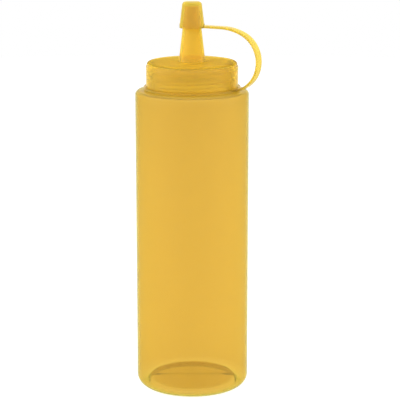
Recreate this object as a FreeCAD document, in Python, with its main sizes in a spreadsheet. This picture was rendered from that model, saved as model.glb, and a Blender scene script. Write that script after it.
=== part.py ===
import FreeCAD, Part
import math
import os
import Sketcher
from FreeCAD import Placement, Rotation, Vector

# Condiment squeeze bottle: a blow-moulded bottle, a screw cap with a cone nozzle, and a tether,
# which is a tip cap, a strap and a neck ring moulded as one piece. Millimetres, +Z up, with the
# origin at the centre of the foot, on the surface that the bottle stands on. The strap loops
# out along +X.

sizes = {
    # bottle
    "body_radius": 35.0,
    "wall": 1.0,
    "body_height": 188.3,        # foot to the sharp corner of wall and shoulder
    "heel_round": 6.5,
    "heel_thinning": 0.6,        # inside round of the heel, less than one parallel to the outside
    "shoulder_round": 2.5,
    "shoulder_rise": 0.85,       # height gained from the body's wall to the neck
    "neck_radius": 25.3,
    "neck_wall": 1.5,
    "neck_height": 15.3,
    "lip_round": 0.35,
    "foot_width": 1.2,           # flat ring that the bottle stands on
    "recess_step": 0.5,          # from that ring in to the pushed-up panel
    "recess_depth": 3.6,
    "base_round": 0.8,
    "weld_width": 3.0,           # bead where the mould pinched the tube shut
    "weld_rise": 0.6,
    "weld_reach": 2.0,           # past the panel's step, onto the heel
    "weld_turn": 28.0,           # degrees from the strap to the weld line
    # screw cap and nozzle
    "thread_room": 1.7,          # between neck and skirt
    "skirt_wall": 1.3,
    "plate": 1.7,
    "crown_height": 2.6,         # narrower band above the skirt
    "crown_step": 0.5,
    "crown_round": 1.75,
    "seal_wall": 1.0,
    "seal_depth": 2.4,
    "nozzle_radius": 8.2,
    "nozzle_tip_radius": 4.2,
    "nozzle_length": 33.6,
    "nozzle_wall": 1.6,
    "nozzle_root_round": 0.6,
    "cap_round": 0.25,           # other edges of the cap
    # tether
    "ring_overhang": 1.4,        # neck ring past the skirt
    "ring_height": 1.5,
    "ring_neck_gap": 0.4,
    "strap_width": 6.2,
    "strap_height": 1.4,
    "strap_round": 0.4,
    "strap_inset": 2.7,          # start of the strap's bend, in from the neck ring's rim
    "crest_radius": 34.0,        # flatter bend of the strap on its way to the tip cap
    "crest_angle": 24.0,         # degrees that this bend turns
    "tip_wall": 1.7,
    "tip_top": 2.5,
    "tip_depth": 16.0,
    "tip_round": 2.0,
    "rim_lip": 0.25,
    "rim_height": 2.5,
    "rim_round": 0.4,
    # clearances
    "seat_gap": 0.2,             # neck ring to shoulder and to skirt
    "plug_gap": 0.3,             # seal inside the neck
    "nozzle_gap": 0.3,           # tip cap round the nozzle
    "tip_gap": 0.5,              # tip cap over the nozzle's end
}

doc = FreeCAD.newDocument("squeeze_bottle")
sheet = doc.addObject("Spreadsheet::Sheet", "Sizes")
for row, (name, value) in enumerate(sizes.items(), 1):
    sheet.set(f"A{row}", name)
    sheet.set(f"B{row}", str(value))
    sheet.setAlias(f"B{row}", name)
doc.recompute()

# Levels and radii that several pieces share, each from the cells above.
S = "Sizes."
footRadius = f"({S}body_radius - {S}heel_round - {S}foot_width)"
recessRadius = f"({footRadius} - {S}recess_step)"
neckRoot = f"({S}body_height + {S}shoulder_rise)"
neckTop = f"({neckRoot} + {S}neck_height)"
neckBore = f"({S}neck_radius - {S}neck_wall)"
ringLow = f"({neckRoot} + {S}seat_gap)"
ringTop = f"({ringLow} + {S}ring_height)"
ringMiddle = f"({ringLow} + {S}ring_height / 2)"
skirtLow = f"({ringTop} + {S}seat_gap)"
skirtBore = f"({S}neck_radius + {S}thread_room)"
skirtRadius = f"({skirtBore} + {S}skirt_wall)"
ringBore = f"({S}neck_radius + {S}ring_neck_gap)"
ringRadius = f"({skirtRadius} + {S}ring_overhang)"
strapRoot = f"({ringRadius} - {S}strap_inset)"
crownRadius = f"({skirtRadius} - {S}crown_step)"
crownTop = f"({neckTop} + {S}plate)"
crownLow = f"({crownTop} - {S}crown_height)"
nozzleTip = f"({crownTop} + {S}nozzle_length)"
boreRadius = f"({S}nozzle_radius - {S}nozzle_wall)"
boreTipRadius = f"({S}nozzle_tip_radius - {S}nozzle_wall)"
nozzleSlope = f"(({S}nozzle_radius - {S}nozzle_tip_radius) / {S}nozzle_length)"
sealRadius = f"({neckBore} - {S}plug_gap)"
sleeveTop = f"({nozzleTip} + {S}tip_gap + {S}tip_top)"
sleeveLow = f"({sleeveTop} - {S}tip_depth)"
rimTop = f"({sleeveLow} + {S}rim_height)"
rimMiddle = f"({sleeveLow} + {S}rim_height / 2)"


def nozzleRadiusAt(level):
    return f"({S}nozzle_radius - {nozzleSlope} * ({level} - {crownTop}))"


def number(expression):
    """Value of an expression over the cells, as a plain number."""
    value = sheet.evalExpression(expression)
    return float(getattr(value, "Value", value))


def newBody(name):
    body = doc.addObject("PartDesign::Body", name)
    body.Label = name
    body.Placement = Placement()
    return body


def newSketch(body, name, plane):
    sketch = body.newObject("Sketcher::SketchObject", name)
    origin = next(o for o in body.Origin.OriginFeatures if o.Role == plane)
    sketch.AttachmentSupport = (origin, "")
    sketch.MapMode = "FlatFace"
    return sketch


def bind(sketch, kind, name, expression, *where):
    """A distance or radius of the sketch that follows the cells."""
    index = sketch.addConstraint(Sketcher.Constraint(kind, *where, number(expression)))
    sketch.renameConstraint(index, name)
    sketch.setExpression(f"Constraints.{name}", expression)


def outline(sketch, corners):
    """Closed outline of straight lines; each corner is two expressions, across and up."""
    places = [Vector(number(across), number(up), 0) for across, up in corners]
    for here, after in zip(places, places[1:] + places[:1]):
        sketch.addGeometry(Part.LineSegment(here, after))
    for index in range(len(corners)):
        sketch.addConstraint(Sketcher.Constraint("Coincident", index, 2, (index + 1) % len(corners), 1))
    for index, (across, up) in enumerate(corners):
        if across == "0":
            sketch.addConstraint(Sketcher.Constraint("PointOnObject", index, 1, -2))
        else:
            bind(sketch, "DistanceX", f"across{index}", across, -1, 1, index, 1)
        if up == "0":
            sketch.addConstraint(Sketcher.Constraint("PointOnObject", index, 1, -1))
        else:
            bind(sketch, "DistanceY", f"up{index}", up, -1, 1, index, 1)


def revolved(body, name, corners):
    """Turns an outline in the XZ plane round the bottle's axis."""
    sketch = newSketch(body, name + "_section", "XZ_Plane")
    outline(sketch, corners)
    turn = body.newObject("PartDesign::Revolution", name)
    turn.Profile = sketch
    turn.ReferenceAxis = (sketch, ["V_Axis"])
    turn.Angle = 360
    doc.recompute()
    return turn


def ringEdge(feature, radius, height):
    """Name of the round edge with this radius at this height."""
    for index, edge in enumerate(feature.Shape.Edges, 1):
        curve = edge.Curve
        if not isinstance(curve, Part.Circle):
            continue
        if abs(curve.Radius - number(radius)) < 1e-4 and abs(curve.Center.z - number(height)) < 1e-4:
            return f"Edge{index}"
    raise ValueError(f"no edge of radius {number(radius)} at {number(height)} on {feature.Label}")


def rounded(body, name, base, edges, radius):
    fillet = body.newObject("PartDesign::Fillet", name)
    fillet.Base = (base, edges)
    fillet.Radius = number(radius)
    fillet.setExpression("Radius", radius)
    doc.recompute()
    return fillet


def makeBottle():
    """Body, shoulder, neck and pushed-up base: one blown wall."""
    body = newBody("bottle")
    wall = f"{S}wall"
    innerRadius = f"({S}body_radius - {wall})"
    heelInside = f"({S}heel_round - {wall} - {S}heel_thinning)"
    panelTop = f"({S}recess_depth + {wall})"
    shoulderLow = f"({S}body_height - {wall})"
    neckLow = f"({neckRoot} - {wall})"
    troughEdge = f"({footRadius} + {wall})"
    shell = revolved(body, "blown_wall", [
        ("0", f"{S}recess_depth"),
        (recessRadius, f"{S}recess_depth"),
        (footRadius, "0"),
        (f"{S}body_radius", "0"),
        (f"{S}body_radius", f"{S}body_height"),
        (f"{S}neck_radius", neckRoot),
        (f"{S}neck_radius", neckTop),
        (neckBore, neckTop),
        (neckBore, neckLow),
        (innerRadius, shoulderLow),
        (innerRadius, wall),
        (troughEdge, wall),
        (recessRadius, panelTop),
        ("0", panelTop),
    ])
    heel = rounded(body, "heel", shell, [ringEdge(shell, f"{S}body_radius", "0")], f"{S}heel_round")
    inner = rounded(body, "heel_inside", heel, [ringEdge(heel, innerRadius, wall)],
                    heelInside)
    shoulder = rounded(body, "shoulder", inner, [ringEdge(inner, f"{S}body_radius", f"{S}body_height")],
                       f"{S}shoulder_round")
    shoulderInside = rounded(body, "shoulder_inside", shoulder,
                             [ringEdge(shoulder, innerRadius, shoulderLow)],
                             f"{S}shoulder_round - {wall}")
    base = rounded(body, "base_edges", shoulderInside, [
        ringEdge(shoulderInside, recessRadius, f"{S}recess_depth"),
        ringEdge(shoulderInside, footRadius, "0"),
        ringEdge(shoulderInside, troughEdge, wall),
        ringEdge(shoulderInside, recessRadius, panelTop),
    ], f"{S}base_round")
    rounded(body, "neck_edges", base, [
        ringEdge(base, f"{S}neck_radius", neckTop),
        ringEdge(base, neckBore, neckTop),
    ], f"{S}lip_round")
    makeWeld(body, panelTop, troughEdge)


def makeWeld(body, panelTop, troughEdge):
    """Bead of the pinched tube, across the panel and down its step, in two opposite halves."""
    middle = f"{S}wall / 2"
    sketch = newSketch(body, "weld_section", "XZ_Plane")
    sketch.AttachmentOffset = Placement(Vector(), Rotation(Vector(0, 1, 0), number(f"{S}weld_turn")))
    sketch.setExpression("AttachmentOffset.Rotation.Angle", f"{S}weld_turn * 1 deg")
    outline(sketch, [
        ("0", f"{S}recess_depth + {middle}"),
        (recessRadius, f"{S}recess_depth + {middle}"),
        (troughEdge, middle),
        (f"{troughEdge} + {S}weld_reach", middle),
        (f"{troughEdge} + {S}weld_reach", f"{S}wall + {S}weld_rise"),
        (f"{troughEdge} + {S}weld_rise", f"{S}wall + {S}weld_rise"),
        (f"{recessRadius} + {S}weld_rise", f"{panelTop} + {S}weld_rise"),
        ("0", f"{panelTop} + {S}weld_rise"),
    ])
    half = body.newObject("PartDesign::Pad", "weld_half")
    half.Profile = sketch
    half.SideType = "Symmetric"
    half.setExpression("Length", f"{S}weld_width")
    doc.recompute()
    weld = body.newObject("PartDesign::PolarPattern", "weld")
    weld.Originals = [half]
    weld.Axis = (sketch, ["V_Axis"])
    weld.Angle = 360
    weld.Occurrences = 2
    body.Tip = weld


def makeCap():
    """Screw cap: skirt, crown, plug seal and hollow cone nozzle in one moulding."""
    body = newBody("screw_cap")
    sealLow = f"({neckTop} - {S}seal_depth)"
    turned = revolved(body, "cap_wall", [
        (skirtRadius, skirtLow),
        (skirtRadius, crownLow),
        (crownRadius, crownLow),
        (crownRadius, crownTop),
        (f"{S}nozzle_radius", crownTop),
        (f"{S}nozzle_tip_radius", nozzleTip),
        (boreTipRadius, nozzleTip),
        (boreRadius, crownTop),
        (boreRadius, neckTop),
        (f"{sealRadius} - {S}seal_wall", neckTop),
        (f"{sealRadius} - {S}seal_wall", sealLow),
        (sealRadius, sealLow),
        (sealRadius, neckTop),
        (skirtBore, neckTop),
        (skirtBore, skirtLow),
    ])
    crown = rounded(body, "crown_edge", turned, [ringEdge(turned, crownRadius, crownTop)], f"{S}crown_round")
    root = rounded(body, "nozzle_root", crown, [ringEdge(crown, f"{S}nozzle_radius", crownTop)],
                   f"{S}nozzle_root_round")
    rounded(body, "cap_edges", root, [
        ringEdge(root, skirtRadius, skirtLow),
        ringEdge(root, skirtRadius, crownLow),
        ringEdge(root, f"{S}nozzle_tip_radius", nozzleTip),
        ringEdge(root, sealRadius, sealLow),
    ], f"{S}cap_round")


def makeTether():
    """Tip cap, strap and neck ring: one flexible moulding."""
    body = newBody("tether")
    makeStrap(body)
    revolved(body, "neck_ring", [
        (ringBore, ringLow),
        (ringRadius, ringLow),
        (ringRadius, ringTop),
        (ringBore, ringTop),
    ])
    hollowTop = f"({nozzleTip} + {S}tip_gap)"
    around = f"{S}nozzle_gap + {S}tip_wall"
    sleeveTopRadius = f"{nozzleRadiusAt(sleeveTop)} + {around}"
    rimRadius = f"{nozzleRadiusAt(rimTop)} + {around} + {S}rim_lip"
    sleeve = revolved(body, "tip_cap", [
        (f"{nozzleRadiusAt(sleeveLow)} + {S}nozzle_gap", sleeveLow),
        (rimRadius, sleeveLow),
        (rimRadius, rimTop),
        (f"{nozzleRadiusAt(rimTop)} + {around}", rimTop),
        (sleeveTopRadius, sleeveTop),
        ("0", sleeveTop),
        ("0", hollowTop),
        (f"{nozzleRadiusAt(hollowTop)} + {S}nozzle_gap", hollowTop),
    ])
    top = rounded(body, "tip_edge", sleeve, [ringEdge(sleeve, sleeveTopRadius, sleeveTop)], f"{S}tip_round")
    rounded(body, "rim_edge", top, [ringEdge(top, rimRadius, sleeveLow)], f"{S}rim_round")


def makeStrap(body):
    """Flat strap swept from inside the tip cap's wall to inside the neck ring."""
    rootAt = f"({nozzleRadiusAt(rimMiddle)} + {S}nozzle_gap + {S}tip_wall / 2)"
    path = strapPath(body, rootAt)
    section = strapSection(body, rootAt)
    doc.recompute()
    strap = body.newObject("PartDesign::AdditivePipe", "strap")
    strap.Profile = section
    strap.Spine = (path, ["Edge1", "Edge2", "Edge3"])
    doc.recompute()
    side = number(f"{S}strap_width / 2")
    shortest = 2 * number(f"{S}strap_height")
    longEdges = [f"Edge{index}" for index, edge in enumerate(strap.Shape.Edges, 1)
                 if abs(abs(edge.CenterOfMass.y) - side) < 1e-4 and edge.Length > shortest]
    rounded(body, "strap_edges", strap, longEdges, f"{S}strap_round")


def strapPath(body, rootAt):
    """Middle line of the strap: a straight run, the flat crest and the round loop, all tangent."""
    crestTurn = f"({S}crest_angle * 1 deg)"
    loopBend = (f"(({rimMiddle} - {ringMiddle} - {S}crest_radius * (1 - cos{crestTurn}))"
                f" / (1 + cos{crestTurn}))")
    sketch = newSketch(body, "strap_path", "XZ_Plane")
    upright = Vector(0, 0, 1)
    low = -math.pi / 2
    high = math.pi / 2
    joint = high - math.radians(number(f"{S}crest_angle"))
    loopCentre = Vector(number(strapRoot), number(f"{ringMiddle} + {loopBend}"), 0)
    loop = Part.ArcOfCircle(Part.Circle(loopCentre, upright, number(loopBend)), low, joint)
    share = number(f"{S}crest_radius / {loopBend}")
    crestCentre = loop.EndPoint + (loopCentre - loop.EndPoint) * share
    crest = Part.ArcOfCircle(Part.Circle(crestCentre, upright, number(f"{S}crest_radius")), joint, high)
    sketch.addGeometry(Part.LineSegment(Vector(number(rootAt), number(rimMiddle), 0), crest.EndPoint))
    sketch.addGeometry(crest)
    sketch.addGeometry(loop)
    sketch.addConstraint(Sketcher.Constraint("Tangent", 0, 2, 1, 2))
    sketch.addConstraint(Sketcher.Constraint("Tangent", 1, 1, 2, 2))
    sketch.addConstraint(Sketcher.Constraint("Horizontal", 0))
    bind(sketch, "DistanceX", "root_across", rootAt, -1, 1, 0, 1)
    bind(sketch, "DistanceY", "root_up", rimMiddle, -1, 1, 0, 1)
    bind(sketch, "Radius", "crest_bend", f"{S}crest_radius", 1)
    bind(sketch, "Radius", "loop_bend", loopBend, 2)
    bind(sketch, "DistanceX", "loop_across", strapRoot, -1, 1, 2, 3)
    bind(sketch, "DistanceX", "ring_across", strapRoot, -1, 1, 2, 1)
    bind(sketch, "DistanceY", "loop_up", f"{ringMiddle} + {loopBend}", -1, 1, 2, 3)
    return sketch


def strapSection(body, rootAt):
    """Rectangle across the start of the strap's middle line."""
    sketch = newSketch(body, "strap_section", "YZ_Plane")
    sketch.AttachmentOffset = Placement(Vector(0, 0, number(rootAt)), Rotation())
    sketch.setExpression("AttachmentOffset.Base.z", rootAt)
    half = number(f"{S}strap_width / 2")
    low = number(f"{rimMiddle} - {S}strap_height / 2")
    high = number(f"{rimMiddle} + {S}strap_height / 2")
    corners = [Vector(-half, low, 0), Vector(half, low, 0), Vector(half, high, 0), Vector(-half, high, 0)]
    for here, after in zip(corners, corners[1:] + corners[:1]):
        sketch.addGeometry(Part.LineSegment(here, after))
    for index in range(len(corners)):
        sketch.addConstraint(Sketcher.Constraint("Coincident", index, 2, (index + 1) % len(corners), 1))
    sketch.addConstraint(Sketcher.Constraint("Symmetric", 0, 1, 0, 2, -2))
    sketch.addConstraint(Sketcher.Constraint("Vertical", 1))
    sketch.addConstraint(Sketcher.Constraint("Horizontal", 2))
    sketch.addConstraint(Sketcher.Constraint("Vertical", 3))
    bind(sketch, "DistanceX", "width", f"{S}strap_width", 0, 1, 0, 2)
    bind(sketch, "DistanceY", "height", f"{S}strap_height", 1, 1, 1, 2)
    bind(sketch, "DistanceY", "up", f"{rimMiddle} - {S}strap_height / 2", -1, 1, 0, 1)
    return sketch


makeBottle()
makeCap()
makeTether()
doc.recompute()

for item in doc.Objects:
    if "Invalid" in item.State or "Error" in item.State:
        raise RuntimeError(f"{item.Name} failed: {item.getStatusString()}")
pieces = [item for item in doc.Objects if item.TypeId == "PartDesign::Body"]
for piece in pieces:
    if piece.Shape.isNull() or not piece.Shape.isValid() or len(piece.Shape.Solids) != 1:
        raise RuntimeError(f"{piece.Label} isn't one valid solid")
os.makedirs("parts", exist_ok=True)
for piece in pieces:
    piece.Shape.exportStep(f"parts/{piece.Label}.step")
    print(f"{piece.Label}: {piece.Shape.Volume / 1000:.2f} cm3")
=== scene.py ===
import math

import bmesh
import bpy
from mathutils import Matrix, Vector


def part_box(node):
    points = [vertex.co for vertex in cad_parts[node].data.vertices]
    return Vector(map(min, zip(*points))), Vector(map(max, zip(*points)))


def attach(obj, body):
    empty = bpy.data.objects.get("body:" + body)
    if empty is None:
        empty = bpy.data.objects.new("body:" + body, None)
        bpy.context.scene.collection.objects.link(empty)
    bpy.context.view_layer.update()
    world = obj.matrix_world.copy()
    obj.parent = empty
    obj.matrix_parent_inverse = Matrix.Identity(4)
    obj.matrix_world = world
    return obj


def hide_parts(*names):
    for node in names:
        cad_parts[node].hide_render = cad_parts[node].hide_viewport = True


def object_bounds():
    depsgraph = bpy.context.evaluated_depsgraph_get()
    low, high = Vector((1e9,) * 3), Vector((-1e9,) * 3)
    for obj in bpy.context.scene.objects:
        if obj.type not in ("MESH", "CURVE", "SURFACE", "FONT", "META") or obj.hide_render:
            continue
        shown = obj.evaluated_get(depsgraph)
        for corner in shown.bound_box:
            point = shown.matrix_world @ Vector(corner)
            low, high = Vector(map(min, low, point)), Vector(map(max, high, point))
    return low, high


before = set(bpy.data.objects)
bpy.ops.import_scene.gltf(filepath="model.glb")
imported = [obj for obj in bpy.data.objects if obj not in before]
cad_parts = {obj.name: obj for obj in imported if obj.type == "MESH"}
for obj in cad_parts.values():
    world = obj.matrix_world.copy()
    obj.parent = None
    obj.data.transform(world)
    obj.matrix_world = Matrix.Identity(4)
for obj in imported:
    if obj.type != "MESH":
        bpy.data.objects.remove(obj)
cadLow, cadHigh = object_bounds()
middle = (cadLow + cadHigh) / 2

mm = 0.001
upAxis = Vector((0, 0, 1))
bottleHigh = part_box("bottle")[1]
capLow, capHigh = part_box("screw_cap")


# ---- camera, floor and light

viewpoint = {
    "turn": 28.0,        # degrees round the bottle from its front
    "distance": 0.983,   # along the floor from the bottle's axis
    "height": 0.347,
    "lens": 145.4,
    "sensorWidth": 36.0,
    "seesTo": 50.0,
    "aimDrop": 0.0018,   # below the middle of the whole object
}


def standing(thing, turn, distance, height, aim):
    # puts a camera or lamp round the bottle, facing the aim
    turn = math.radians(turn)
    thing.location = Vector((math.sin(turn), -math.cos(turn), 0)) * distance
    thing.location.z = height
    thing.rotation_mode = "QUATERNION"
    thing.rotation_quaternion = (aim - thing.location).to_track_quat("-Z", "Y")
    bpy.context.scene.collection.objects.link(thing)


def placeCamera():
    data = bpy.data.cameras.new("productCamera")
    data.lens = viewpoint["lens"]
    data.sensor_width = viewpoint["sensorWidth"]
    data.clip_end = viewpoint["seesTo"]
    camera = bpy.data.objects.new("productCamera", data)
    aim = middle - upAxis * viewpoint["aimDrop"]
    standing(camera, viewpoint["turn"], viewpoint["distance"], viewpoint["height"], aim)
    bpy.context.scene.camera = camera


placeCamera()
print("camera placed")

studio = {
    "floorReach": 1.5,
    "floorSegments": 96,
    "floorColour": (0.30, 0.30, 0.30, 1),
    "floorLift": 0.86,       # brings the lit floor up to white for the camera
    "worldStrength": 0.55,
    "worldColour": (1.0, 1.0, 1.0, 1),
    "backdropStrength": 1.0,
    "backdropColour": (1, 1, 1, 1),
}

# turn in degrees round the bottle, lengths in metres, power in watts
lamps = [
    {"name": "leftSoftbox", "turn": -50, "height": 0.55, "distance": 1.2,
     "width": 0.9, "tall": 1.4, "power": 17},
    {"name": "rightSoftbox", "turn": 106, "height": 0.55, "distance": 1.2,
     "width": 0.9, "tall": 1.4, "power": 17},
    {"name": "topSoftbox", "turn": 28, "height": 1.7, "distance": 0.2,
     "width": 1.4, "tall": 1.4, "power": 14},
]


def feed(socket, value):
    # links a socket to another one's output, or sets it to a plain value
    if isinstance(value, bpy.types.NodeSocket):
        socket.id_data.links.new(value, socket)
    else:
        socket.default_value = value


def operationNode(nodes, kind, operation, *values):
    node = nodes.new(kind)
    node.operation = operation
    for socket, value in zip(node.inputs, values):
        feed(socket, value)
    return node


def mathNode(nodes, operation, *values):
    return operationNode(nodes, "ShaderNodeMath", operation, *values).outputs[0]


def vectorNode(nodes, operation, *values):
    return operationNode(nodes, "ShaderNodeVectorMath", operation, *values)


def backdropRays(nodes):
    # 1 for rays from the camera, from mirror gloss and through clear plastic
    path = nodes.new("ShaderNodeLightPath").outputs
    direct = mathNode(nodes, "MAXIMUM", path["Is Camera Ray"], path["Is Transmission Ray"])
    return mathNode(nodes, "MAXIMUM", direct, path["Is Glossy Ray"])


def makeFloor():
    sheet = bmesh.new()
    bmesh.ops.create_circle(sheet, cap_ends=True, radius=studio["floorReach"],
                            segments=studio["floorSegments"])
    data = bpy.data.meshes.new("studioFloor")
    sheet.to_mesh(data)
    sheet.free()
    floor = bpy.data.objects.new("studioFloor", data)
    bpy.context.scene.collection.objects.link(floor)
    paper = bpy.data.materials.new("studioPaper")
    paper.use_nodes = True
    nodes = paper.node_tree.nodes
    surface = nodes["Principled BSDF"].inputs
    surface["Base Color"].default_value = studio["floorColour"]
    surface["Roughness"].default_value = 1.0
    surface["Specular IOR Level"].default_value = 0.0
    surface["Emission Color"].default_value = studio["backdropColour"]
    feed(surface["Emission Strength"],
         mathNode(nodes, "MULTIPLY", backdropRays(nodes), studio["floorLift"]))
    data.materials.append(paper)


def makeWorld():
    world = bpy.data.worlds.new("studioWorld")
    bpy.context.scene.world = world
    world.use_nodes = True
    nodes = world.node_tree.nodes
    nodes.clear()
    output = nodes.new("ShaderNodeOutputWorld")
    blend = nodes.new("ShaderNodeMixShader")
    soft = nodes.new("ShaderNodeBackground")
    soft.inputs["Color"].default_value = studio["worldColour"]
    soft.inputs["Strength"].default_value = studio["worldStrength"]
    white = nodes.new("ShaderNodeBackground")
    white.inputs["Color"].default_value = studio["backdropColour"]
    white.inputs["Strength"].default_value = studio["backdropStrength"]
    feed(blend.inputs["Fac"], backdropRays(nodes))
    feed(blend.inputs[1], soft.outputs[0])
    feed(blend.inputs[2], white.outputs[0])
    feed(output.inputs["Surface"], blend.outputs[0])


def makeLamps():
    for lamp in lamps:
        data = bpy.data.lights.new(lamp["name"], "AREA")
        data.shape = "RECTANGLE"
        data.size = lamp["width"]
        data.size_y = lamp["tall"]
        data.energy = lamp["power"]
        softbox = bpy.data.objects.new(lamp["name"], data)
        standing(softbox, lamp["turn"], lamp["distance"], lamp["height"], middle)


makeFloor()
makeWorld()
makeLamps()
bpy.context.scene.view_settings.view_transform = "Standard"
print("floor, world and lamps made")


# ---- plastics

grain = {
    "streakDetail": 2.0,
    "satinSize": 140.0,
    "satinDetail": 3.0,
    "satinMiddle": 0.5,     # noise value that leaves the roughness as it is
    "rippleDetail": 1.0,
}

# socket of the pattern, its kind, and the word for it in a plastic's dictionary
patternInputs = [
    ("Colour", "NodeSocketColor", "colour"),
    ("Deep Colour", "NodeSocketColor", "deepColour"),
    ("Streak Size", "NodeSocketFloat", "streakSize"),
    ("Streak Stretch", "NodeSocketFloat", "streakStretch"),
    ("Roughness", "NodeSocketFloat", "roughness"),
    ("Roughness Spread", "NodeSocketFloat", "roughnessSpread"),
    ("Ripple Size", "NodeSocketFloat", "rippleSize"),
    ("Patch Above", "NodeSocketFloat", "patchAbove"),
    ("Patch Beyond", "NodeSocketFloat", "patchBeyond"),
    ("Matt Roughness", "NodeSocketFloat", "mattRoughness"),
    ("Patch Colour", "NodeSocketColor", "patchColour"),
    ("Painted Light Colour", "NodeSocketColor", "paintedLightColour"),
    ("Painted Light Below", "NodeSocketFloat", "paintedLightBelow"),
    ("Painted Light Radius", "NodeSocketFloat", "paintedLightRadius"),
    ("Painted Light Reach", "NodeSocketFloat", "paintedLightReach"),
]
patternOutputs = [
    ("Colour", "NodeSocketColor"), ("Roughness", "NodeSocketFloat"), ("Height", "NodeSocketFloat"),
]


def noiseNode(nodes, place, size, detail):
    noise = nodes.new("ShaderNodeTexNoise")
    feed(noise.inputs["Vector"], place)
    feed(noise.inputs["Scale"], size)
    noise.inputs["Detail"].default_value = detail
    return noise.outputs["Fac"]


def mixNode(nodes, kind, factor, first, second):
    mix = nodes.new("ShaderNodeMix")
    mix.data_type = kind
    feed(mix.inputs["Factor"], factor)
    feed(mix.inputs["A"], first)
    feed(mix.inputs["B"], second)
    return mix.outputs["Result"]


def makePlasticGroup():
    # soft pigment streaks, satin patches and the faint ripple of moulded plastic, with a paler
    # ring low down that is painted light
    group = bpy.data.node_groups.new("mouldedPlastic", "ShaderNodeTree")
    for name, kind, word in patternInputs:
        group.interface.new_socket(name, in_out="INPUT", socket_type=kind)
    for name, kind in patternOutputs:
        group.interface.new_socket(name, in_out="OUTPUT", socket_type=kind)
    nodes = group.nodes
    given = nodes.new("NodeGroupInput").outputs
    result = nodes.new("NodeGroupOutput").inputs
    place = nodes.new("ShaderNodeTexCoord").outputs["Object"]

    squeeze = nodes.new("ShaderNodeCombineXYZ")
    squeeze.inputs["X"].default_value = 1
    squeeze.inputs["Y"].default_value = 1
    feed(squeeze.inputs["Z"], given["Streak Stretch"])
    stretched = vectorNode(nodes, "MULTIPLY", place, squeeze.outputs[0]).outputs["Vector"]
    streaks = noiseNode(nodes, stretched, given["Streak Size"], grain["streakDetail"])
    tint = mixNode(nodes, "RGBA", streaks, given["Colour"], given["Deep Colour"])

    satin = noiseNode(nodes, place, grain["satinSize"], grain["satinDetail"])
    centred = mathNode(nodes, "SUBTRACT", satin, grain["satinMiddle"])
    spread = mathNode(nodes, "MULTIPLY_ADD", centred, given["Roughness Spread"],
                      given["Roughness"])

    # one area above a height and beyond a radius has its own roughness and colour; the paler
    # colour on the bottle's neck is painted light
    split = nodes.new("ShaderNodeSeparateXYZ")
    feed(split.inputs[0], place)
    level = split.outputs["Z"]
    sideways = vectorNode(nodes, "MULTIPLY", place, (1, 1, 0)).outputs["Vector"]
    reach = vectorNode(nodes, "LENGTH", sideways).outputs["Value"]
    patchPlace = mathNode(nodes, "MULTIPLY",
                         mathNode(nodes, "GREATER_THAN", level, given["Patch Above"]),
                         mathNode(nodes, "GREATER_THAN", reach, given["Patch Beyond"]))
    feed(result["Roughness"],
         mixNode(nodes, "FLOAT", patchPlace, spread, given["Matt Roughness"]))
    # the patch colour: painted light on the bottle's neck, darker on the cap's top disc
    patched = mixNode(nodes, "RGBA", patchPlace, tint, given["Patch Colour"])

    # painted light: a soft paler ring low on the piece, lightening the heel and foot where the
    # shadow under the bottle darkens them
    ring = nodes.new("ShaderNodeMapRange")
    ring.interpolation_type = "SMOOTHSTEP"
    ring.inputs["From Min"].default_value = 0.0
    ring.inputs["To Min"].default_value = 1.0
    ring.inputs["To Max"].default_value = 0.0
    feed(ring.inputs["From Max"], given["Painted Light Reach"])
    feed(ring.inputs["Value"],
         mathNode(nodes, "ABSOLUTE", mathNode(nodes, "SUBTRACT", reach, given["Painted Light Radius"])))
    paintedLightPlace = mathNode(nodes, "MULTIPLY", ring.outputs["Result"],
                         mathNode(nodes, "LESS_THAN", level, given["Painted Light Below"]))
    feed(result["Colour"], mixNode(nodes, "RGBA", paintedLightPlace, patched, given["Painted Light Colour"]))

    feed(result["Height"],
         noiseNode(nodes, stretched, given["Ripple Size"], grain["rippleDetail"]))
    return group


plasticGroup = makePlasticGroup()
print("plastic pattern made")

noPatch = {     # no area with its own roughness and colour
    "patchAbove": 1.0, "patchBeyond": 0.0, "mattRoughness": 0.0, "patchColour": (1, 1, 1, 1),
}
noRing = {      # no ring of painted light
    "paintedLightColour": (1, 1, 1, 1), "paintedLightBelow": 0.0, "paintedLightRadius": 0.0, "paintedLightReach": 0.001,
}
blownPlastic = {
    "name": "blownPlastic",
    "colour": (0.88, 0.67, 0.29, 1), "deepColour": (0.87, 0.655, 0.275, 1),
    "streakSize": 9.0, "streakStretch": 0.25,
    "roughness": 0.12, "roughnessSpread": 0.04,
    "rippleSize": 30.0, "rippleHeight": 0.00006,
    "clear": 0.88, "ior": 1.06,
    "soakColour": (0.81, 0.87, 0.06, 1), "soak": 370.0,
    "patchAbove": bottleHigh.z - 0.0150, "patchBeyond": 0.0,                  # the neck, where the paler patch colour is painted light
    "mattRoughness": 0.10, "patchColour": (0.97, 0.82, 0.48, 1),
    "paintedLightColour": (1.0, 0.90, 0.62, 1), "paintedLightBelow": 0.0055,                # painted light on the heel and foot
    "paintedLightRadius": 0.0295, "paintedLightReach": 0.0065,
}
capPlastic = {
    **noRing,
    "name": "capPlastic",
    "colour": (0.93, 0.72, 0.17, 1), "deepColour": (0.915, 0.705, 0.16, 1),
    "streakSize": 25.0, "streakStretch": 1.0,
    "roughness": 0.10, "roughnessSpread": 0.04,
    "rippleSize": 60.0, "rippleHeight": 0.00004,
    "clear": 0.76, "ior": 1.08,
    "soakColour": (0.90, 0.87, 0.07, 1), "soak": 190.0,
    "patchAbove": capHigh.z - 0.0346, "patchBeyond": 0.0083,                  # the top disc
    "mattRoughness": 0.60, "patchColour": (0.82, 0.59, 0.08, 1),
}
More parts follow.
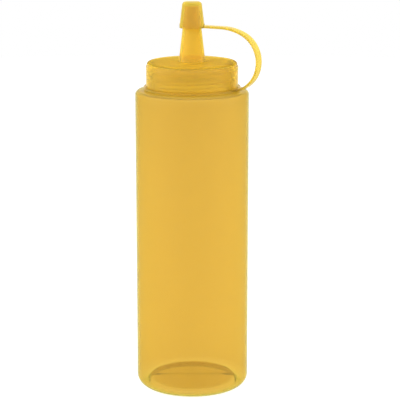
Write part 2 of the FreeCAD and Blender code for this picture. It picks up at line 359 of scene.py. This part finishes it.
tetherPlastic = {
    **noPatch,
    **noRing,
    "name": "tetherPlastic",
    "colour": (0.90, 0.695, 0.17, 1), "deepColour": (0.885, 0.68, 0.16, 1),
    "streakSize": 30.0, "streakStretch": 1.0,
    "roughness": 0.12, "roughnessSpread": 0.04,
    "rippleSize": 80.0, "rippleHeight": 0.00003,
    "clear": 0.76, "ior": 1.08,
    "soakColour": (0.86, 0.83, 0.07, 1), "soak": 250.0,
}


def makePlastic(look):
    plastic = bpy.data.materials.new(look["name"])
    plastic.use_nodes = True
    nodes = plastic.node_tree.nodes
    surface = nodes["Principled BSDF"].inputs
    pattern = nodes.new("ShaderNodeGroup")
    pattern.node_tree = plasticGroup
    for name, kind, word in patternInputs:
        pattern.inputs[name].default_value = look[word]
    bump = nodes.new("ShaderNodeBump")
    bump.inputs["Distance"].default_value = look["rippleHeight"]
    feed(bump.inputs["Height"], pattern.outputs["Height"])
    feed(surface["Base Color"], pattern.outputs["Colour"])
    feed(surface["Roughness"], pattern.outputs["Roughness"])
    feed(surface["Normal"], bump.outputs["Normal"])
    surface["IOR"].default_value = look["ior"]
    surface["Transmission Weight"].default_value = look["clear"]
    soak = nodes.new("ShaderNodeVolumeAbsorption")      # thicker walls are deeper in colour
    soak.inputs["Color"].default_value = look["soakColour"]
    soak.inputs["Density"].default_value = look["soak"]
    feed(nodes["Material Output"].inputs["Volume"], soak.outputs[0])
    return plastic


# ---- turned shells

turning = {
    "steps": 288,               # round the axis
    "longestStep": 3.5,         # along a section, so that shading stays local to its bends
    "threadStep": 0.35,         # where a thread bead is raised
    "baseStep": 1.0,            # where the weld bead is raised
    "edgeSegments": 4,          # on roundings up to a millimetre
    "fewestSegments": 3,        # on larger ones
    "segmentsPerLength": 2,     # per millimetre of their arc
    "mergeWithin": 0.001,
    "wallEdge": 5.0,            # longer edges of a section are its straight walls
    "onWall": 0.01,             # how near a wall a point lies to count as on it
}


def roundedSection(corners, closed):
    # corners are (radius, height, rounding) in millimetres, in order along the section
    section = bmesh.new()
    points = [section.verts.new((across * mm, 0, up * mm)) for across, up, rounding in corners]
    pairs = list(zip(points, points[1:]))
    if closed:
        pairs.append((points[-1], points[0]))
    for pair in pairs:
        section.edges.new(pair)
    places = [point.co.copy() for point in points]
    count = len(points)
    for index, (across, up, rounding) in enumerate(corners):
        if not rounding:
            continue
        arriving = (places[index] - places[index - 1]).normalized()
        leaving = (places[(index + 1) % count] - places[index]).normalized()
        bend = arriving.angle(leaving)
        segments = turning["edgeSegments"]
        if rounding > 1:
            along = round(bend * rounding * turning["segmentsPerLength"])
            segments = max(turning["fewestSegments"], along)
        bmesh.ops.bevel(section, geom=[points[index]], offset=rounding * mm * math.tan(bend / 2),
                        segments=segments, profile=0.5, affect="VERTICES", material=-1)
    return section


def divide(section, edges, spacing):
    for edge in edges:
        cuts = math.ceil(edge.calc_length() / (spacing * mm)) - 1
        if cuts > 0:
            bmesh.ops.subdivide_edges(section, edges=[edge], cuts=cuts)


def turn(section):
    geometry = section.verts[:] + section.edges[:]
    bmesh.ops.spin(section, geom=geometry, cent=(0, 0, 0), axis=upAxis, angle=math.tau,
                   steps=turning["steps"], use_merge=True, use_duplicate=False)
    bmesh.ops.remove_doubles(section, verts=section.verts[:], dist=turning["mergeWithin"] * mm)
    bmesh.ops.recalc_face_normals(section, faces=section.faces[:])
    section.verts.index_update()
    count = len(section.verts)

    def order(face):
        low = sorted(vert.index for vert in face.verts)
        return (low[0] * count + low[1]) * count + low[2]

    section.faces.sort(key=order)       # spin leaves them in another order each run


def finished(shape, name, look):
    for face in shape.faces:
        face.smooth = True
    data = bpy.data.meshes.new(name)
    shape.to_mesh(data)
    shape.free()
    piece = bpy.data.objects.new(name, data)
    bpy.context.scene.collection.objects.link(piece)
    data.materials.append(makePlastic(look))
    return piece


def bulge(offset, halfWidth):
    # 1 on the line, falling smoothly to 0 at halfWidth from it
    if abs(offset) >= halfWidth:
        return 0.0
    return 0.5 + 0.5 * math.cos(math.pi * offset / halfWidth)


def threadHeight(place, thread):
    # how far a helical bead stands out of the wall here; it fades in and out at its two ends
    part = math.atan2(place.y, place.x) / math.tau
    above = place.z / mm - thread["level"] - thread["pitch"] * part
    lap = round(above / thread["pitch"])
    along = part + lap
    ease = min(along - thread["start"], thread["end"] - along) / thread["fade"]
    if ease <= 0:
        return 0.0
    bead = bulge(above - lap * thread["pitch"], thread["halfWidth"])
    return thread["rise"] * min(ease, 1.0) * bead


def fromAxis(vert):
    # distance from the axis in millimetres, and the direction out from it
    return math.hypot(vert.co.x, vert.co.y) / mm, Vector((vert.co.x, vert.co.y, 0)).normalized()


# ---- the blown bottle

bottle = {
    "wall": 1.0,
    "bodyRadius": bottleHigh.y / mm,
    "shoulderDrop": 16.15,      # from the neck's rim down to the corner of wall and shoulder
    "neckTop": bottleHigh.z / mm,
    "neckHeight": 15.3,
    "neckRadius": 25.3,
    "neckWall": 1.5,
    "footRadius": 27.3,
    "recessRadius": 26.8,
    "recessDepth": 3.6,
    "heelRound": 6.5,
    "heelInsideRound": 4.9,
    "shoulderRound": 2.5,
    "neckRootRound": 0.3,
    "rimRound": 0.35,
    "baseRound": 0.8,
    "panelRound": 2.0,          # inside, where the panel turns down
    "weldTurn": 28.0,
    "weldHalfWidth": 2.4,
    "weldRise": 0.8,
    "weldEnd": 33.5,
    "weldFade": 2.5,
    "weldBelow": 9.0,           # the weld is raised only below this height
    "markHalfWidth": 1.0,       # fine line across the weld
    "markRise": 0.5,
    "markStart": 4.5,
    "markEnd": 21.0,
    "facingUp": 0.02,           # the weld is raised only where the wall faces up by more
    "baseBelow": 12.0,          # the base is divided finely up to here
    "baseAbove": 0.9,           # and down to here
    "baseInside": 0.99,         # and out to this share of the inner wall
}
neckThread = {
    "level": 199.13, "pitch": 4.8, "rise": 1.1, "halfWidth": 1.25,
    "start": -1.45, "end": 0.45, "fade": 0.08,      # in turns
}


def raiseWeld(place):
    # bead of the pinched tube over the panel, its step and the foot of the heel
    heading = math.radians(bottle["weldTurn"])
    across, lengthwise = math.sin(heading), math.cos(heading)
    along = abs(place.x * lengthwise + place.y * across) / mm
    aside = (place.y * lengthwise - place.x * across) / mm
    fade = min(1.0, max(0.0, (bottle["weldEnd"] - along) / bottle["weldFade"]))
    weld = bottle["weldRise"] * fade * bulge(aside, bottle["weldHalfWidth"])
    mark = 0.0
    if bottle["markStart"] < abs(aside) < bottle["markEnd"]:
        mark = bottle["markRise"] * bulge(along, bottle["markHalfWidth"])
    return max(weld, mark) * mm


def makeBottle():
    b = bottle
    wall = b["wall"]
    inner = b["bodyRadius"] - wall
    shoulder = b["neckTop"] - b["shoulderDrop"]
    neckRoot = b["neckTop"] - b["neckHeight"]
    bore = b["neckRadius"] - b["neckWall"]
    panelTop = b["recessDepth"] + wall
    trough = b["footRadius"] + wall
    section = roundedSection([
        (0, b["recessDepth"], 0),
        (b["recessRadius"], b["recessDepth"], b["baseRound"]),
        (b["footRadius"], 0, b["baseRound"]),
        (b["bodyRadius"], 0, b["heelRound"]),
        (b["bodyRadius"], shoulder, b["shoulderRound"]),
        (b["neckRadius"], neckRoot, b["neckRootRound"]),
        (b["neckRadius"], b["neckTop"], b["rimRound"]),
        (bore, b["neckTop"], b["rimRound"]),
        (bore, neckRoot - wall, b["neckRootRound"]),
        (inner, shoulder - wall, b["shoulderRound"] - wall),
        (inner, wall, b["heelInsideRound"]),
        (trough, wall, b["baseRound"]),
        (b["recessRadius"], panelTop, b["panelRound"]),
        (0, panelTop, 0),
    ], closed=False)
    neckEdges, baseEdges = [], []
    for edge in section.edges:
        low, high = sorted(v.co.z / mm for v in edge.verts)
        near = min(v.co.x for v in edge.verts) / mm
        if low > neckRoot and high - low > turning["wallEdge"] and near > bore + turning["onWall"]:
            neckEdges.append(edge)      # the neck's outer wall
        elif high < b["baseBelow"] and low > b["baseAbove"] and near < inner * b["baseInside"]:
            baseEdges.append(edge)      # panel and heel
    divide(section, neckEdges, turning["threadStep"])
    divide(section, baseEdges, turning["baseStep"])
    divide(section, section.edges[:], turning["longestStep"])
    turn(section)
    for vert in section.verts:
        reach, out = fromAxis(vert)
        if vert.co.z > neckRoot * mm and reach > b["neckRadius"] - turning["onWall"]:
            vert.co += out * threadHeight(vert.co, neckThread) * mm
        elif vert.co.z < b["weldBelow"] * mm and vert.normal.z > b["facingUp"]:
            vert.co += vert.normal * raiseWeld(vert.co)
    piece = finished(section, "bottle_shell", blownPlastic)
    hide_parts("bottle")
    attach(piece, "root")


makeBottle()
print("bottle made")


# ---- the screw cap with its nozzle

cap = {
    "skirtRadius": capHigh.y / mm,
    "skirtLow": capLow.z / mm,
    "skirtWall": 1.3,
    "crownStep": 0.5,
    "crownHeight": 2.6,
    "crownRound": 1.75,
    "plate": 1.7,
    "sealRadius": 23.5,
    "sealWall": 1.0,
    "sealDepth": 2.4,
    "nozzleRadius": 8.2,
    "nozzleTipRadius": 4.2,
    "nozzleTip": capHigh.z / mm,
    "nozzleLength": 33.6,
    "nozzleWall": 1.6,
    "nozzleRootRound": 0.6,
    "edgeRound": 0.25,
    "innerRound": 0.15,
    "threadBelow": 0.3,         # under the plate
}
capThread = {
    "level": 196.73, "pitch": 4.8, "rise": 1.0, "halfWidth": 1.2,
    "start": -0.45, "end": 1.35, "fade": 0.08,      # in turns
}


def makeScrewCap():
    c = cap
    plateTop = c["nozzleTip"] - c["nozzleLength"]
    plateLow = plateTop - c["plate"]
    crownRadius = c["skirtRadius"] - c["crownStep"]
    crownLow = plateTop - c["crownHeight"]
    skirtBore = c["skirtRadius"] - c["skirtWall"]
    bore = c["nozzleRadius"] - c["nozzleWall"]
    sealBore = c["sealRadius"] - c["sealWall"]
    sealLow = plateLow - c["sealDepth"]
    section = roundedSection([
        (c["skirtRadius"], c["skirtLow"], c["edgeRound"]),
        (c["skirtRadius"], crownLow, c["edgeRound"]),
        (crownRadius, crownLow, 0),
        (crownRadius, plateTop, c["crownRound"]),
        (c["nozzleRadius"], plateTop, c["nozzleRootRound"]),
        (c["nozzleTipRadius"], c["nozzleTip"], c["edgeRound"]),
        (c["nozzleTipRadius"] - c["nozzleWall"], c["nozzleTip"], c["innerRound"]),
        (bore, plateTop, 0),
        (bore, plateLow, c["innerRound"]),
        (sealBore, plateLow, c["innerRound"]),
        (sealBore, sealLow, c["innerRound"]),
        (c["sealRadius"], sealLow, c["edgeRound"]),
        (c["sealRadius"], plateLow, c["innerRound"]),
        (skirtBore, plateLow, c["innerRound"]),
        (skirtBore, c["skirtLow"], c["innerRound"]),
    ], closed=True)
    boreEdges = [edge for edge in section.edges if edge.calc_length() > turning["wallEdge"] * mm
                 and all(abs(v.co.x / mm - skirtBore) < turning["onWall"] for v in edge.verts)]
    divide(section, boreEdges, turning["threadStep"])
    divide(section, section.edges[:], turning["longestStep"])
    turn(section)
    for vert in section.verts:
        reach, out = fromAxis(vert)
        low = vert.co.z / mm < plateLow - c["threadBelow"]
        if low and abs(reach - skirtBore) < turning["onWall"]:
            vert.co -= out * threadHeight(vert.co, capThread) * mm
    piece = finished(section, "cap_shell", capPlastic)
    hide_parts("screw_cap")
    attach(piece, "root")


makeScrewCap()
print("screw cap made")


# ---- the tether: tip cap, strap and neck ring

tether = {"smoothBelow": 40.0}      # degrees; sharper edges stay crisp


def makeTether():
    shape = bmesh.new()
    shape.from_mesh(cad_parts["tether"].data)
    bmesh.ops.remove_doubles(shape, verts=shape.verts[:], dist=turning["mergeWithin"] * mm)
    sharp = math.radians(tether["smoothBelow"])
    for edge in shape.edges:
        if len(edge.link_faces) == 2 and edge.calc_face_angle() > sharp:
            edge.smooth = False
    piece = finished(shape, "tether_strap", tetherPlastic)
    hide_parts("tether")
    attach(piece, "root")


makeTether()
print("tether made")
